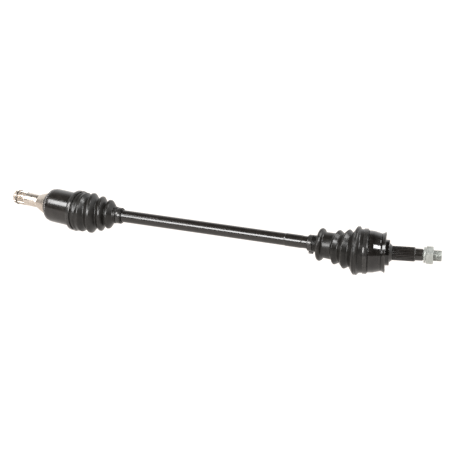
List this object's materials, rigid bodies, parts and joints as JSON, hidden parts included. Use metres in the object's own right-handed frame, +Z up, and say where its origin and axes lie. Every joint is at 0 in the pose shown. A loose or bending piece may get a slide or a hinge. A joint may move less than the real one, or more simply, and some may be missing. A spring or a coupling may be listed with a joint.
{
  "type": "cv axle",
  "caption": "Front-wheel-drive half shaft with a plunging tripod joint, a fixed ball joint, rubber bellows, splined stubs and a hub nut.",
  "frame": {"origin": "middle of the shaft bar, on its axis, half way between the two joint centres", "axes": "+X along the bar towards the wheel end, +Z up; at rest both housings are bent about Z, the gearbox one by 10 degrees and the wheel one by 11 degrees, each with its stub towards +Y"},
  "size_m": [0.8492, 0.0888, 0.0884],
  "materials": {
    "black_paint": "gloss black paint over forged steel",
    "ground_steel": "bare ground steel",
    "bearing_steel": "hardened and polished bearing steel with a film of grease",
    "spring_steel": "dark tempered spring steel",
    "rubber": "satin black moulded bellows rubber",
    "clamp_steel": "blackened stainless band",
    "zinc": "bright zinc plate"
  },
  "bodies": {
    "shaft": {"shaft_bar": "black_paint", "tripod_spider": "bearing_steel", "spider_circlip": "spring_steel", "needle_row_1": "bearing_steel", "needle_row_2": "bearing_steel", "needle_row_3": "bearing_steel", "roller_snap_ring_1": "spring_steel", "roller_snap_ring_2": "spring_steel", "roller_snap_ring_3": "spring_steel", "inner_race": "bearing_steel", "race_circlip": "spring_steel", "boot_inboard_neck": "rubber", "boot_outboard_neck": "rubber", "boot_outboard_barrel": "rubber", "clamp_inboard_small": "clamp_steel", "clamp_outboard_small": "clamp_steel"},
    "track_roller_a": {"track_roller_1": "bearing_steel"},
    "track_roller_b": {"track_roller_2": "bearing_steel"},
    "track_roller_c": {"track_roller_3": "bearing_steel"},
    "inboard_fold_a": {"boot_inboard_fold_1": "rubber"},
    "inboard_fold_b": {"boot_inboard_fold_2": "rubber"},
    "inboard_joint": {"inboard_housing": "black_paint", "housing_stop_ring": "spring_steel", "stub_snap_ring": "ground_steel", "boot_inboard_fold_3": "rubber", "boot_inboard_cuff": "rubber", "clamp_inboard_large": "clamp_steel"},
    "outboard_fold_a": {"boot_outboard_fold_1": "rubber"},
    "cage": {"ball_cage": "bearing_steel", "ball_1": "bearing_steel", "ball_2": "bearing_steel", "ball_3": "bearing_steel", "ball_4": "bearing_steel", "ball_5": "bearing_steel", "ball_6": "bearing_steel", "boot_outboard_fold_2": "rubber"},
    "outboard_fold_b": {"boot_outboard_fold_3": "rubber"},
    "outboard_joint": {"outboard_housing": "black_paint", "dust_shield": "black_paint", "hub_washer": "zinc", "hub_nut": "zinc", "boot_outboard_fold_4": "rubber", "boot_outboard_cuff": "rubber", "clamp_outboard_large": "clamp_steel"}
  },
  "joints": [
    {"name": "inboard_tilt", "type": "hinge", "parent": "shaft", "child": "inboard_fold_a", "pos_m": [-0.3, 0, 0], "axis": [0, 1, 0], "range_deg": [-12, 12], "deforming": ["boot_inboard_fold_1"]},
    {"name": "inboard_swing", "type": "hinge", "parent": "inboard_fold_a", "child": "inboard_fold_b", "pos_m": [-0.3, 0, 0], "axis": [0, 0, 1], "range_deg": [-2, 22], "deforming": ["boot_inboard_fold_2"]},
    {"name": "inboard_plunge", "type": "slide", "parent": "inboard_fold_b", "child": "inboard_joint", "axis": [0.9848, -0.1736, 0], "range_m": [-0.012, 0.01], "deforming": ["boot_inboard_fold_3"]},
    {"name": "roller_spin_1", "type": "hinge", "parent": "shaft", "child": "track_roller_a", "pos_m": [-0.3, 0, 0.0195], "axis": [0, 0, 1], "continuous": true},
    {"name": "roller_spin_2", "type": "hinge", "parent": "shaft", "child": "track_roller_b", "pos_m": [-0.3, -0.01689, -0.00975], "axis": [0, -0.866, -0.5], "continuous": true},
    {"name": "roller_spin_3", "type": "hinge", "parent": "shaft", "child": "track_roller_c", "pos_m": [-0.3, 0.01689, -0.00975], "axis": [0, 0.866, -0.5], "continuous": true},
    {"name": "outboard_tilt", "type": "hinge", "parent": "shaft", "child": "outboard_fold_a", "pos_m": [0.3, 0, 0], "axis": [-0.0958, 0.9954, 0], "range_deg": [-10, 10], "deforming": ["boot_outboard_fold_1"]},
    {"name": "outboard_swing", "type": "hinge", "parent": "outboard_fold_a", "child": "cage", "pos_m": [0.3, 0, 0], "axis": [0, 0, 1], "range_deg": [-23.5, 12.5], "deforming": ["boot_outboard_fold_2"]},
    {"name": "outboard_swing_far", "type": "hinge", "parent": "cage", "child": "outboard_fold_b", "pos_m": [0.3, 0, 0], "axis": [0, 0, 1], "range_deg": [-23.5, 12.5], "deforming": ["boot_outboard_fold_3"]},
    {"name": "outboard_tilt_far", "type": "hinge", "parent": "outboard_fold_b", "child": "outboard_joint", "pos_m": [0.3, 0, 0], "axis": [-0.0958, 0.9954, 0], "range_deg": [-10, 10], "deforming": ["boot_outboard_fold_4"]}
  ],
  "couplings": [
    {"joint": "roller_spin_1", "follows": "inboard_plunge", "rad_per_m": 64.516},
    {"joint": "roller_spin_2", "follows": "inboard_plunge", "rad_per_m": 64.516},
    {"joint": "roller_spin_3", "follows": "inboard_plunge", "rad_per_m": 64.516},
    {"joint": "outboard_swing_far", "follows": "outboard_swing", "ratio": 1},
    {"joint": "outboard_tilt_far", "follows": "outboard_tilt", "ratio": 1}
  ]
}
